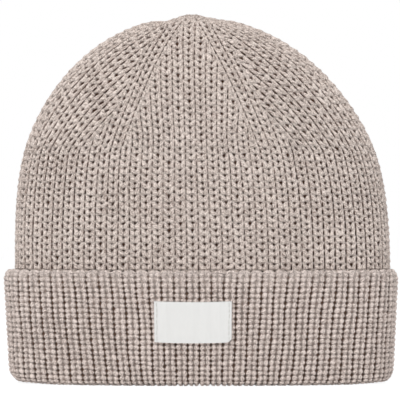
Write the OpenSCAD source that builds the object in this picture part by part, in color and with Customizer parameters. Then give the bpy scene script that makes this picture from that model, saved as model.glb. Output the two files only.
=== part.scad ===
// Ribbed knit beanie with a turned-up cuff, a woven label on the cuff
// and a care label inside.
//
// Millimetres, +Z up. The hat stands on the fold of its cuff. X runs across
// it, the label faces -Y, and the origin is on the ground below its middle.
// Places around the hat are counted in ribs, from the back seam round by the
// left side (-X). How deep a point lies in the wall is its inset, measured
// inwards from the outer face of the cuff or of the crown.

/* [Hat] */
// Width across the top of the cuff
hat_w = 220; // [190:1:250]
// Depth from front to back, standing slightly open
hat_d = 80; // [70:1:110]
// Height from the fold to the tip of the crown
hat_h = 206; // [180:1:240]
// Thickness of one layer of the knit
knit_t = 4; // [3:0.1:5]
// Ease between the turned-up layer and the layer below it
layer_gap = 0.4; // [0.3:0.1:0.8]

/* [Ribs] */
// Ribs around the hat
rib_count = 72; // [64:4:88]
// Depth of the valleys between the ribs
rib_depth = 1; // [0.4:0.1:1.6]
// How many ribs the knit has turned to the left of its standing shape
knit_turn = 0.8; // [-2:0.1:2]

/* [Cuff] */
// Height of the turned-up cuff
cuff_h = 64; // [50:1:80]
// How much the cuff narrows from its top to the fold, at each side
cuff_flare = 3; // [0:0.5:5]
// Height of the rounded turn at the bottom
fold_h = 6; // [4.5:0.5:10]
// Radius of the turn's two edges
fold_r = 3.2; // [1:0.1:3.3]
// Height of the cast-on edge, which is the top of the turned-up layer
edge_h = 3; // [2:0.5:5]
// Radius of the cast-on edge
edge_r = 1.2; // [0.5:0.1:1.4]

/* [Crown] */
// Height at which the decreases begin
decrease_z = 130; // [100:1:150]
// Squareness of the shoulders, where 2 is an ellipse
shoulder = 2.45; // [2:0.05:3]
// How far the tip leans to the left
tip_lean = 6; // [0:0.5:12]
// Steepness of the crown's face where the gather begins, in degrees
gather_angle = 84; // [80:0.5:85]
// Ribs across the front and back gores where the decreases begin
gore_ribs = 12; // [8:2:16]
// Ribs left across those gores at the gather
gore_tip_ribs = 2.4; // [1:0.1:4]
// Thickness of the closing yarn
yarn_d = 1.6; // [1:0.1:2]

/* [Front label] */
// Width of the label
label_w = 43; // [30:1:60]
// Height of the label
label_h = 23; // [15:1:30]
// Height of the label's lower edge above the ground
label_z = 23; // [12:1:26]
// Thickness of the woven tape
tape_t = 0.6; // [0.4:0.1:0.8]
// Length of the tape turned under at each end
tab_w = 5; // [3:0.5:8]
// Distance of the sewing from each end
sew_margin = 1.6; // [1:0.1:2.5]
// Length of one stitch
stitch_l = 2.2; // [1.5:0.1:3]
// Gap between stitches
stitch_gap = 0.9; // [0.5:0.1:1.5]
// Thickness of the sewing thread
thread_d = 0.4; // [0.3:0.05:0.6]

/* [Back seam] */
// Width of the linked seam
seam_w = 3; // [2:0.1:4]
// Thickness of the linked seam
seam_t = 0.9; // [0.5:0.1:1.2]

/* [Care label] */
// Width of the care label
care_w = 25; // [15:1:32]
// Length of the care label below the seam that holds it
care_l = 40; // [25:1:42]
// Height of the care label's upper edge above the ground
care_z = 60; // [46:1:62]
// Thickness of the care label
care_t = 0.5; // [0.3:0.1:0.8]
// Gap between the care label and what it hangs against
care_gap = 0.3; // [0.3:0.1:0.6]

/* [Hidden] */

knit_colour = [0.73, 0.67, 0.63];
cuff_colour = [0.68, 0.62, 0.58];
seam_colour = [0.60, 0.54, 0.50];
label_colour = [0.91, 0.90, 0.88];
thread_colour = [0.96, 0.96, 0.95];

eps = 0.05;                        // clearance between faces that only touch
layer_inset = knit_t + layer_gap;  // how deep the inner layer lies
fold_t = 2 * knit_t + layer_gap;   // both layers of the cuff together
edge_z = cuff_h - edge_h;
band_z = fold_h + layer_gap;       // lower end of the inner band
crown_a = hat_w / 2 - layer_inset; // half the crown's width at its base
crown_b = hat_d / 2 - layer_inset; // half the crown's depth at its base
dome_h = hat_h - cuff_h;
lean_power = 1.6;                  // the lean grows towards the tip

front_rib = rib_count / 2;         // the rib at the middle of the front
tube_steps = 4;
gore_steps = 8;
seam_end = 7;                      // gore step at which the back seam ends
tape_columns = 12;

// Arc length around the oval of the hat, paired with the angle it is reached at
function oval_step(i) =
    norm([hat_w / 2 * (sin(i + 1) - sin(i)), hat_d / 2 * (cos(i + 1) - cos(i))]);
oval_arc = [for (i = 0, s = 0; i <= 360; s = s + oval_step(i), i = i + 1) [s, i]];
perimeter = oval_arc[360][0];
rib_pitch = perimeter / rib_count;

function wrap(x) = x - floor(x);
function blend(a, b, t) = a + (b - a) * t;
function valley(i) = (i % 2) * rib_depth;

// Point at rib k on an oval of half width a and half depth b
function oval(k, a, b) =
    let (t = lookup(wrap((k - knit_turn) / rib_count) * perimeter, oval_arc))
    [-a * sin(t), b * cos(t)];

// Point of the cuff, whose sides draw in towards the fold
function flare(z) = cuff_flare * (1 - z / cuff_h);
function cuff_point(k, inset, z) =
    let (o = oval(k, hat_w / 2 - flare(z) - inset, hat_d / 2 - inset))
    [o.x, o.y, z];

// Point of the crown at steepness phi: 0 is upright and 90 is the tip
function crown_point(k, inset, phi) =
    let (rise = pow(sin(phi), 2 / shoulder),
         z = cuff_h + (dome_h - inset) * rise,
         o = oval(k, crown_a - inset, crown_b - inset) * cos(phi))
    [o.x - tip_lean * pow((z - cuff_h) / dome_h, lean_power), o.y, z];

// Steepness of the crown at height z
function steepness(z, inset) = asin(pow((z - cuff_h) / (dome_h - inset), shoulder / 2));

// Point of the inner band or, above the cuff, of the crown
function wall_point(k, inset, z) =
    z <= cuff_h ? cuff_point(k, layer_inset + inset, z)
                : crown_point(k, inset, steepness(z, inset));

// Heights of the tube's levels, and steepness of a gore's levels
tube_levels = [for (j = [0:tube_steps]) blend(cuff_h, decrease_z, j / tube_steps)];
function gore_level(j, inset) =
    blend(steepness(decrease_z, inset), gather_angle, j / gore_steps);

// Half the width of the front and back gores, in ribs, at a gore level
function gore_half(j) = blend(gore_ribs, gore_tip_ribs, j / gore_steps) / 2;

// Closed skin through a row of sections with equally many points. Each section
// runs up one face of the piece and back down the other. A ring joins its last
// section to its first, and any other row is closed by its two end sections.
module sweep(sections, ring = false) {
    n = len(sections);
    m = len(sections[0]);
    function id(i, j) = (i % n) * m + j % m;
    sides = [for (i = [0:ring ? n - 1 : n - 2], j = [0:m - 1]) each [
        [id(i, j), id(i, j + 1), id(i + 1, j + 1)],
        [id(i, j), id(i + 1, j + 1), id(i + 1, j)]]];
    starts = [for (j = [0:m / 2 - 2]) each [
        [id(0, j), id(0, m - 1 - j), id(0, m - 2 - j)],
        [id(0, j), id(0, m - 2 - j), id(0, j + 1)]]];
    ends = [for (j = [0:m / 2 - 2]) each [
        [id(n - 1, j), id(n - 1, j + 1), id(n - 1, m - 2 - j)],
        [id(n - 1, j), id(n - 1, m - 2 - j), id(n - 1, m - 1 - j)]]];
    polyhedron(points = [for (s = sections) each s],
               faces = ring ? sides : concat(sides, starts, ends));
}

// Closed line of points around a centre line point, in the plane of out and up
function yarn_section(centre, out, r) =
    [for (w = [-90:45:225]) centre + out * r * cos(w) + [0, 0, r * sin(w)]];

// ---- turned-up cuff ----

module cuff_layer() {
    color(cuff_colour)
        sweep([for (i = [0:2 * rib_count - 1]) [
            cuff_point(i / 2, valley(i), fold_h),
            cuff_point(i / 2, valley(i), edge_z),
            cuff_point(i / 2, knit_t, edge_z),
            cuff_point(i / 2, knit_t, fold_h)]], ring = true);
}

module cuff_fold() {
    profile = concat(
        [for (w = [0:30:90]) [fold_r * (1 - sin(w)), fold_r * (1 - cos(w))]],
        [[0, fold_h], [fold_t, fold_h]],
        [for (w = [90:-30:0]) [fold_t - fold_r * (1 - sin(w)), fold_r * (1 - cos(w))]]);
    color(cuff_colour)
        sweep([for (k = [0:rib_count - 1])
            [for (p = profile) cuff_point(k, p.x, p.y)]], ring = true);
}

module cuff_edge() {
    profile = concat(
        [[0, edge_z]],
        [for (w = [0:45:90]) [edge_r * (1 - cos(w)), cuff_h - edge_r * (1 - sin(w))]],
        [for (w = [90:-45:0])
            [knit_t - edge_r * (1 - cos(w)), cuff_h - edge_r * (1 - sin(w))]],
        [[knit_t, edge_z]]);
    color(cuff_colour)
        sweep([for (k = [0:rib_count - 1])
            [for (p = profile) cuff_point(k, p.x, p.y)]], ring = true);
}

// The cuff shows the knit's other face, so its stretch of the seam is outside
module cuff_seam() {
    half = seam_w / 2 / rib_pitch;
    color(seam_colour)
        sweep([for (i = [-1:1]) [
            cuff_point(i * half, -eps - seam_t, fold_h),
            cuff_point(i * half, -eps - seam_t, edge_z),
            cuff_point(i * half, -eps, edge_z),
            cuff_point(i * half, -eps, fold_h)]]);
}

// ---- front label ----

// Piece of tape on the cuff, from u1 to u2 millimetres across the label
module tape(u1, u2, off) {
    color(label_colour)
        sweep([for (i = [0:tape_columns])
            let (k = front_rib + blend(u1, u2, i / tape_columns) / rib_pitch) [
            cuff_point(k, -off - tape_t, label_z),
            cuff_point(k, -off - tape_t, label_z + label_h),
            cuff_point(k, -off, label_z + label_h),
            cuff_point(k, -off, label_z)]]);
}

module front_label() {
    tape(-label_w / 2, label_w / 2, tape_t + 2 * eps);
}

module label_tab_left() {
    tape(-label_w / 2, tab_w - label_w / 2, eps);
}

module label_tab_right() {
    tape(label_w / 2 - tab_w, label_w / 2, eps);
}

// Column of stitches at u millimetres across the label
module label_stitches(u) {
    pitch = stitch_l + stitch_gap;
    count = floor((label_h - stitch_gap) / pitch);
    start = label_z + (label_h - count * pitch + stitch_gap) / 2;
    face = 2 * tape_t + 3 * eps;
    color(thread_colour)
        for (i = [0:count - 1])
            translate(cuff_point(front_rib + u / rib_pitch, -face - thread_d / 2,
                                 start + i * pitch))
                cylinder(h = stitch_l, d = thread_d, $fn = 24);
}

module label_stitches_left() {
    label_stitches(sew_margin - label_w / 2);
}

module label_stitches_right() {
    label_stitches(label_w / 2 - sew_margin);
}

// ---- crown ----

module inner_band() {
    color(knit_colour)
        sweep([for (i = [0:2 * rib_count - 1]) [
            wall_point(i / 2, valley(i), band_z),
            wall_point(i / 2, valley(i), cuff_h),
            wall_point(i / 2, knit_t, cuff_h),
            wall_point(i / 2, knit_t, band_z)]], ring = true);
}

module crown_tube() {
    color(knit_colour)
        sweep([for (i = [0:2 * rib_count - 1]) concat(
            [for (j = [0:tube_steps]) wall_point(i / 2, valley(i), tube_levels[j])],
            [for (j = [tube_steps:-1:0]) wall_point(i / 2, knit_t, tube_levels[j])])],
            ring = true);
}

// Gore of so many ribs. Each edge is a rib count plus or minus the half width
// of the front and back gores, so that gores side by side share one edge.
module gore(from, from_side, to, to_side, ribs) {
    function k(i, j) = blend(from + from_side * gore_half(j),
                             to + to_side * gore_half(j), i / (2 * ribs));
    function point(i, j, inset) = crown_point(k(i, j), inset, gore_level(j, inset));
    color(knit_colour)
        sweep([for (i = [0:2 * ribs]) concat(
            [for (j = [0:gore_steps]) point(i, j, valley(i) * (1 - j / gore_steps))],
            [for (j = [gore_steps:-1:0]) point(i, j, knit_t)])]);
}

module crown_front_gore() {
    gore(front_rib, -1, front_rib, 1, gore_ribs);
}

module crown_back_gore() {
    gore(0, -1, 0, 1, gore_ribs);
}

module crown_left_gore() {
    gore(0, 1, front_rib, -1, rib_count / 2 - gore_ribs);
}

module crown_right_gore() {
    gore(front_rib, 1, rib_count, -1, rib_count / 2 - gore_ribs);
}

// Ribs drawn together at the tip: a low plug in the gores' opening
module crown_gather() {
    ease = 0.3;
    top = 89;
    function level(phi, inset) =
        [for (k = [0:rib_count - 1]) crown_point(k, inset, phi)];
    color(knit_colour)
        sweep([level(top, 0), level(blend(gather_angle + ease, top, 0.5), 0),
               level(gather_angle + ease, 0), level(gather_angle + ease, knit_t)]);
}

// Yarn drawn through the last stitches inside the tip, and its knot
module closing_yarn() {
    under = crown_point(0, knit_t, gather_angle).z - yarn_d / 2 - eps;
    ring_a = (crown_a - knit_t) * cos(gather_angle) - yarn_d;
    ring_b = (crown_b - knit_t) * cos(gather_angle) - yarn_d / 4;
    knot_r = ring_b - yarn_d / 2 - eps;
    color(seam_colour) {
        sweep([for (w = [0:15:345])
            let (out = [-ring_b * sin(w), ring_a * cos(w), 0])
            yarn_section([-tip_lean - ring_a * sin(w), ring_b * cos(w), under],
                         out / norm(out), yarn_d / 2)], ring = true);
        translate([-tip_lean, 0, under + yarn_d / 2 - knot_r])
            sphere(r = knot_r, $fn = 32);
    }
}

// Linked seam along the middle of the back, on the wall's inner face
module back_seam() {
    half = seam_w / 2 / rib_pitch;
    wall = knit_t + 2 * eps;
    function face(k, inset) = concat(
        [wall_point(k, inset, band_z)],
        [for (z = tube_levels) wall_point(k, inset, z)],
        [for (j = [1:seam_end]) crown_point(k, inset, gore_level(j, inset))]);
    function reversed(list) = [for (i = [len(list) - 1:-1:0]) list[i]];
    color(seam_colour)
        sweep([for (i = [-1:1])
            concat(face(i * half, wall), reversed(face(i * half, wall + seam_t)))]);
}

// ---- care label ----

care_y = hat_d / 2 - layer_inset - knit_t - seam_t - 2 * eps - care_gap - care_t;
care_x = oval(0, hat_w / 2, hat_d / 2).x;

// Hangs from its upper edge, about which it swings inwards
module care_label() {
    color(label_colour)
        translate([care_x - care_w / 2, care_y, care_z - care_l])
            cube([care_w, care_t, care_l]);
}

// Short threads above the care label that tie its upper edge to the wall, with
// none over the seam
module care_label_stitches() {
    count = 4;
    margin = 2;
    z = care_z + care_gap + thread_d / 2;
    color(thread_colour)
        for (i = [0:count - 1])
            let (u = blend(margin - care_w / 2, care_w / 2 - margin, i / (count - 1)),
                 wall = wall_point(-u / rib_pitch, knit_t, z))
                translate([care_x + u, care_y, z])
                    rotate([-90, 0, 0])
                        cylinder(h = wall.y - care_y - care_gap / 2, d = thread_d,
                                 $fn = 24);
}

cuff_layer();
cuff_fold();
cuff_edge();
cuff_seam();
front_label();
label_tab_left();
label_tab_right();
label_stitches_left();
label_stitches_right();
inner_band();
crown_tube();
crown_front_gore();
crown_back_gore();
crown_left_gore();
crown_right_gore();
crown_gather();
closing_yarn();
back_seam();
care_label_stitches();
care_label();
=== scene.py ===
import bpy
import numpy as np
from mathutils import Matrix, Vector


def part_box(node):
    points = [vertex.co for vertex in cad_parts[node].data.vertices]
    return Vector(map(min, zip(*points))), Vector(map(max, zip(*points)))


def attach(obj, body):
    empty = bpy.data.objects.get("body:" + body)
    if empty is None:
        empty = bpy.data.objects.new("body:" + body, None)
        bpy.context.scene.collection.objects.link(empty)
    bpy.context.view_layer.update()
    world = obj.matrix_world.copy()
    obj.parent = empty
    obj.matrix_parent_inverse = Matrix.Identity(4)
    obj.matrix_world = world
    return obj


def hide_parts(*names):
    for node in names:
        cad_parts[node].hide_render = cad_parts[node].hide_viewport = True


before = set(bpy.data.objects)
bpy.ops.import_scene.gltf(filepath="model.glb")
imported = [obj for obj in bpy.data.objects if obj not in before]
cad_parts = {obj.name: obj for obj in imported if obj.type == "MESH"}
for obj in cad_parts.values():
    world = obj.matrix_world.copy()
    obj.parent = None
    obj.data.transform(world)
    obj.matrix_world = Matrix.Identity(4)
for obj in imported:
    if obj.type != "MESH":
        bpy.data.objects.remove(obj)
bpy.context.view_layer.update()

mm = 0.001  # lengths below are in millimetres, unless a note says metres
tau = 2 * np.pi


def nodeBox(name):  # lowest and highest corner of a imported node, in millimetres
    low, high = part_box(name)
    return np.array(low) / mm, np.array(high) / mm


def lengthsOf(points, axis):  # distance from each point to the next along an axis
    return np.linalg.norm(np.diff(points, axis=axis), axis=-1)


def arcAlong(points, axis=0):  # distance run along an axis up to each point
    steps = np.cumsum(lengthsOf(points, axis), axis)
    return np.concatenate([0 * np.take(steps, [0], axis), steps], axis)


foldBox, edgeBox, layerBox = nodeBox("cuff_fold"), nodeBox("cuff_edge"), nodeBox("cuff_layer")
bandBox, tubeBox, gatherBox = nodeBox("inner_band"), nodeBox("crown_tube"), nodeBox("crown_gather")

hat = {
    "halfWidth": edgeBox[1][0],
    "halfDepth": edgeBox[1][1],
    "foldTop": foldBox[1][2],
    "layerTop": layerBox[1][2],
    "cuffTop": edgeBox[1][2],
    "bandLow": bandBox[0][2],
    "decreaseZ": tubeBox[1][2],
    "top": gatherBox[1][2],
    "inset": edgeBox[1][0] - tubeBox[1][0],  # how deep the inner layer lies below the cuff's face
    "knit": 4.0,  # thickness of one layer
    "flare": 3.0,  # how much the cuff narrows at its fold
    "places": 72,  # places around the hat, counted from the back seam by the left
    "turn": 0.8,  # places by which the knit has turned to the left
    "shoulder": 2.45,  # squareness of the crown, where 2 is an ellipse
    "lean": 6.0,  # lean of the tip to the left
    "leanPower": 1.6,
    "gatherAngle": 84.0,  # steepness at which the ribs are drawn together
    "goreHalf": 6.0,  # half the front and back gores where the decreases begin, in places
    "goreTipHalf": 1.2,  # and at the gather
}
domeHeight = hat["top"] - hat["cuffTop"]
crownHalf = (hat["halfWidth"] - hat["inset"], hat["halfDepth"] - hat["inset"])

ovalAngle = np.linspace(0, tau, 3601)
ovalEdge = np.stack([-hat["halfWidth"] * np.sin(ovalAngle), hat["halfDepth"] * np.cos(ovalAngle)], 1)
ovalArc = arcAlong(ovalEdge)
placeWidth = ovalArc[-1] / hat["places"]


# Point k places round an oval: minus a sin t, b cos t, where t is the angle at
# which the arc of the hat's own oval reaches k places.
def oval(k, a, b):
    share = np.mod((k - hat["turn"]) / hat["places"], 1)
    t = np.interp(share * ovalArc[-1], ovalArc, ovalAngle)
    return -a * np.sin(t), b * np.cos(t)


# The cuff is an oval that narrows evenly towards the fold.
def cuffPoint(k, inset, z):
    narrow = hat["flare"] * (1 - z / hat["cuffTop"])
    x, y = oval(k, hat["halfWidth"] - narrow - inset, hat["halfDepth"] - inset)
    return np.stack(np.broadcast_arrays(x, y, z), -1)


# The crown at steepness phi: its ovals shrink with cos phi, and its height
# grows with sin phi to the power 2 over the shoulder.
def crownPoint(k, inset, phi):
    z = hat["cuffTop"] + (domeHeight - inset) * np.sin(phi) ** (2 / hat["shoulder"])
    x, y = oval(k, crownHalf[0] - inset, crownHalf[1] - inset)
    lean = hat["lean"] * ((z - hat["cuffTop"]) / domeHeight) ** hat["leanPower"]
    return np.stack(np.broadcast_arrays(x * np.cos(phi) - lean, y * np.cos(phi), z), -1)


def steepness(z, inset):  # the inverse of the crown's height
    share = np.clip((z - hat["cuffTop"]) / (domeHeight - inset), 0, 1)
    return np.arcsin(share ** (hat["shoulder"] / 2))


def smooth(x):  # 0 below 0, 1 above 1 and an even slope between
    x = np.clip(x, 0, 1)
    return x * x * (3 - 2 * x)


slack = {  # how the soft knit settles
    "tipDip": 1.3,  # how far the crown sinks in a ring round its tip
    "dipAt": 0.145,  # where the ring lies, as a share of the crown's half width
    "dipWidth": 0.055,
    "dipLean": 0.5,  # how much deeper it is on the left, as a share
    "dipFrom": 160.0,  # height from which it shows
    "dipEase": 30.0,
    "sideFull": 1.9,  # how much fuller the crown is on its sides
    "fullAt": 135.0,  # height at which it is fullest
    "fullEase": 32.0,
    "waves": ((0.5, 17.0, 23.0, 0.0), (0.35, 9.1, -14.0, 2.0)),  # height, lengths across and up, start
    "waveFrom": 4.0,  # height above the cuff from which the walls wave
    "waveEase": 30.0,
    "waveSides": 12.0,  # depth over which the front's waves fade at the hat's sides
    "hemLift": 1.0,  # how far the hem rises at its two ends
    "hemFrom": 78.0,  # distance from the middle at which it begins to rise
    "hemEase": 30.0,
    "hemCorner": 6.0,  # radius of its corners
    "foldCorner": 2.0,  # the part of that radius which the fold already gives
    "cornerEnd": 0.94,  # where the circle stops, as a share of its radius
}


# The crown sinks in a ring round its tip, most on the left, is fuller half way up its
# sides, and its walls wave as knit does. Ring and fullness fall off as e to the minus
# square of the distance; the waves are sines of the place across plus the height.
def settleCrown(p):
    x, y, z = p[..., 0], p[..., 1], p[..., 2]
    side = (x + hat["lean"]) / crownHalf[0]
    across = np.hypot(side, y / crownHalf[1])
    ring = np.exp(-((across - slack["dipAt"]) / slack["dipWidth"]) ** 2)
    dip = slack["tipDip"] * ring * (1 - slack["dipLean"] * side / np.maximum(across, 0.02))
    full = np.exp(-((z - slack["fullAt"]) / slack["fullEase"]) ** 2)
    wave = sum(high * np.sin(x / long + z / tall + start) for high, long, tall, start in slack["waves"])
    wave = wave * smooth((z - hat["cuffTop"] - slack["waveFrom"]) / slack["waveEase"])
    out = p.copy()
    out[..., 2] -= dip * smooth((z - slack["dipFrom"]) / slack["dipEase"])
    out[..., 0] += slack["sideFull"] * side * np.abs(side) * full
    out[..., 1] += wave * np.sign(y) * smooth(np.abs(y) / slack["waveSides"])
    return out


# The hem lifts at both ends of the fold, and its corners are rounded by a circle.
def settleFold(p):
    out = p.copy()
    away, r = np.abs(p[..., 0]), slack["hemCorner"]
    end = smooth((away - slack["hemFrom"]) / slack["hemEase"])
    reach = np.clip((away - (hat["halfWidth"] - hat["flare"] - r)) / r, 0, slack["cornerEnd"])
    lift = slack["hemLift"] * end + (r - slack["foldCorner"]) * (1 - np.sqrt(1 - reach ** 2))
    out[..., 2] += lift * np.clip(1 - p[..., 2] / hat["foldTop"], 0, 1)
    return out


# Moves each point along the grid's normal, the cross product of its two directions.
def raised(points, height, ring):
    if ring:  # the last column repeats the first, so slopes wrap round
        around = np.concatenate([points[:, -2:-1], points, points[:, 1:2]], 1)
        across = (around[:, 2:] - around[:, :-2]) / 2
    else:
        across = np.gradient(points, axis=1)
    normal = np.cross(across, np.gradient(points, axis=0))
    normal /= np.maximum(np.linalg.norm(normal, axis=-1, keepdims=True), 1e-9)
    return points + normal * height[..., None]


def addToScene(name, data):
    made = bpy.data.objects.new(name, data)
    bpy.context.scene.collection.objects.link(made)
    return made


# Puts corners, faces and fields into a mesh at the origin.
def writeMesh(name, points, faces, caps, uv, fields, flat=None):
    loops = np.concatenate([faces.ravel(), *caps])
    sizes = np.concatenate([np.full(len(faces), 4), [len(c) for c in caps]]).astype(int)
    smoothed = np.ones(len(faces), bool) if flat is None else ~flat
    mesh = bpy.data.meshes.new(name)
    mesh.vertices.add(points.size // 3)
    mesh.vertices.foreach_set("co", (points * mm).astype(np.float32).ravel())
    mesh.loops.add(len(loops))
    mesh.loops.foreach_set("vertex_index", loops.astype(np.int32))
    mesh.polygons.add(len(sizes))
    mesh.polygons.foreach_set("loop_start", (np.cumsum(sizes) - sizes).astype(np.int32))
    mesh.polygons.foreach_set("use_smooth", np.concatenate([smoothed, np.zeros(len(caps), bool)]))
    mesh.update(calc_edges=True)
    spare = np.zeros((len(loops) - faces.size, 2))
    layer = mesh.uv_layers.new(name="OFBake")
    layer.data.foreach_set("uv", np.concatenate([uv.reshape(-1, 2), spare]).astype(np.float32).ravel())
    for key, value in fields.items():
        vector = value.shape[-1:] == (3,) and value.size == points.size
        store = mesh.attributes.new(key, "FLOAT_VECTOR" if vector else "FLOAT", "POINT")
        store.data.foreach_set("vector" if vector else "value", value.astype(np.float32).ravel())
    return addToScene(name, mesh)


# A grid of points as a mesh. Rows close on themselves as a profile does; columns
# close as a ring, or end in a cap. Quads run round each cell, so faces point out
# where columns run to the left of up. Flat rows are rims, which keep their edge.
def gridMesh(name, points, fields, flatRows, ring=False):
    rows, cols = points.shape[:2]
    j = np.arange(rows)[:, None]
    i = np.arange(cols if ring else cols - 1)[None, :]
    up, on = (j + 1) % rows, (i + 1) % cols
    corner = np.stack([j * cols + i, j * cols + on, up * cols + on, up * cols + i], -1)
    flat = np.zeros(corner.shape[:2], bool)
    flat[list(flatRows)] = True
    level = np.cumsum(np.maximum(lengthsOf(points, 0).mean(1), 0.05))
    level = np.concatenate([[0], level, [level[-1] + 1]])
    level /= level[-1]
    across = np.arange(cols + 1) / (cols if ring else cols - 1)
    jj, ii = np.broadcast_arrays(j, i)
    uv = np.stack([np.stack([across[ii], across[ii + 1], across[ii + 1], across[ii]], -1),
                   np.stack([level[jj], level[jj], level[jj + 1], level[jj + 1]], -1)], -1)
    caps = []
    if not ring:
        caps = [np.arange(rows)[::-1] * cols, np.arange(rows) * cols + cols - 1]
    return writeMesh(name, points, corner.reshape(-1, 4), caps, uv, fields, flat.ravel())


# Round threads along paths (thread, point, place): each path point carries a circle
# square to the path, swollen point by point. A path closes on itself or has capped ends.
def threadMesh(name, paths, radius, swell=1.0, closed=False):
    count, length = paths.shape[:2]
    sides = 8  # corners round a thread
    if closed:
        run = np.roll(paths, -1, 1) - np.roll(paths, 1, 1)
    else:
        run = np.gradient(paths, axis=1)
    run /= np.maximum(np.linalg.norm(run, axis=-1, keepdims=True), 1e-9)
    guide = np.where(np.abs(run[..., 2:]) > 0.9, [1.0, 0, 0], [0, 0, 1.0])
    side = np.cross(run, guide)
    side /= np.linalg.norm(side, axis=-1, keepdims=True)
    other = np.cross(run, side)
    turn = tau * np.arange(sides) / sides
    thick = radius * (np.ones(length) * swell)[None, :, None, None]
    circle = (side[:, :, None] * np.cos(turn)[:, None] + other[:, :, None] * np.sin(turn)[:, None])
    points = paths[:, :, None] + circle * thick
    start = np.arange(count)[:, None] * length * sides  # each thread's first corner
    n = start[:, :, None]
    j = np.arange(length if closed else length - 1)[None, :, None]
    i = np.arange(sides)[None, None, :]
    on, up = (i + 1) % sides, (j + 1) % length
    corner = np.stack([n + j * sides + i, n + j * sides + on, n + up * sides + on,
                       n + up * sides + i], -1)
    share = (np.arange(count)[:, None, None, None] + np.stack([i, i + 1, i + 1, i], -1) / sides) / count
    uv = np.stack(np.broadcast_arrays(share, np.stack([j, j, j + 1, j + 1], -1) / length), -1)
    caps = []
    if not closed:
        caps = [*start + np.arange(sides)[::-1], *start + (length - 1) * sides + np.arange(sides)]
    tone = 0.6 * np.sin(2.7 * np.arange(count))[:, None, None]  # another for each thread
    yarn = np.stack(np.broadcast_arrays(arcAlong(paths, 1)[..., None], turn * radius, tone), -1)
    # painted shade: the thinness where one loop goes under the next is stored as depth, so a wool
    # material paints its gap shade there
    thin = (1 - thick[..., 0] / radius) + 0 * yarn[..., 0]  # where one loop goes under the next
    return writeMesh(name, points, corner.reshape(-1, 4), caps, uv, {"yarn": yarn, "depth": thin})


def finishPiece(made, body, material, nodes):
    made.data.materials.append(material)
    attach(made, body)
    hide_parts(*nodes)
    return made


crownStitch = {
    "ribs": 74, "ribWidth": 6.37,  # ribs round the hat, and the width of one
    "course": 3.8,  # height of a course
    "seed": 3, "upsideDown": False,
    "ribDepth": 1.2, "ribPower": 5.0,  # depth of the grooves, and the power of their sides
    "ribBreak": 0.45,  # how much shallower they are where ribs touch, as a share
    "gapAt": 0.5,  # share of a course at which ribs part
    "sideDepth": 0.6,  # how much deeper grooves are at the hat's sides, as a share
    "yarnDepth": 1.5, "crease": 0.3,  # depth beside the legs, and what more where ribs part
    "legOut": 2.0, "legUp": 1.9,  # a leg's middle from the rib's middle and the course's foot
    "legTilt": 35,  # in degrees
    "legHalfLength": 2.85, "legHalfWidth": 1.6,
    "legLean": 0.1,  # how much lower one end is than its middle, as a share
    "shift": 0.2, "tiltShift": 7,  # how far chance moves and tilts a leg
}
cuffStitch = {
    "ribs": 70, "ribWidth": 7.1,
    "course": 2.85,
    "seed": 5, "upsideDown": True,
    "ribDepth": 0.75, "ribPower": 2.6,
    "ribBreak": 0.25,
    "gapAt": 0.0,
    "sideDepth": 0.1,
    "yarnDepth": 1.4, "crease": 0.1,
    "legOut": 1.8, "legUp": 1.42,
    "legTilt": 38,
    "legHalfLength": 1.55, "legHalfWidth": 1.5,
    "legLean": 0.1,
    "shift": 0.18, "tiltShift": 9,
}
knitting = {  # how even the knit is, all over the hat
    "waves": (3, 7, 12, 19),  # waves round the hat in a slow drift
    "climb": (0.1, 0.6),  # how fast they turn with height, from and to
    "driftAcross": 0.06,  # drift of the ribs, in ribs
    "driftUp": 0.2,  # drift of the courses, in courses
    "gapDrift": 1.2,  # drift of the places where ribs touch
    "strandShift": 5.0,  # how far apart strands start from leg to leg
    "repeat": 97,  # courses after which the legs' irregularity comes again
    "innerShare": 0.35,  # depth of the ribs inside the hat, each way from their middle
}


# Slow drift of the stitches: a sum of sines, whole waves round the hat. Read at other
# multiples of u and v, it gives another drift.
def drift(u, v, stitch):
    luck = np.random.default_rng(stitch["seed"] + 40)
    total = 0
    for wave in knitting["waves"]:
        climb, start = luck.uniform(*knitting["climb"]), luck.uniform(0, tau)
        total = total + np.sin(tau * wave * u / stitch["ribs"] + climb * v + start)
    return total / len(knitting["waves"])


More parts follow.
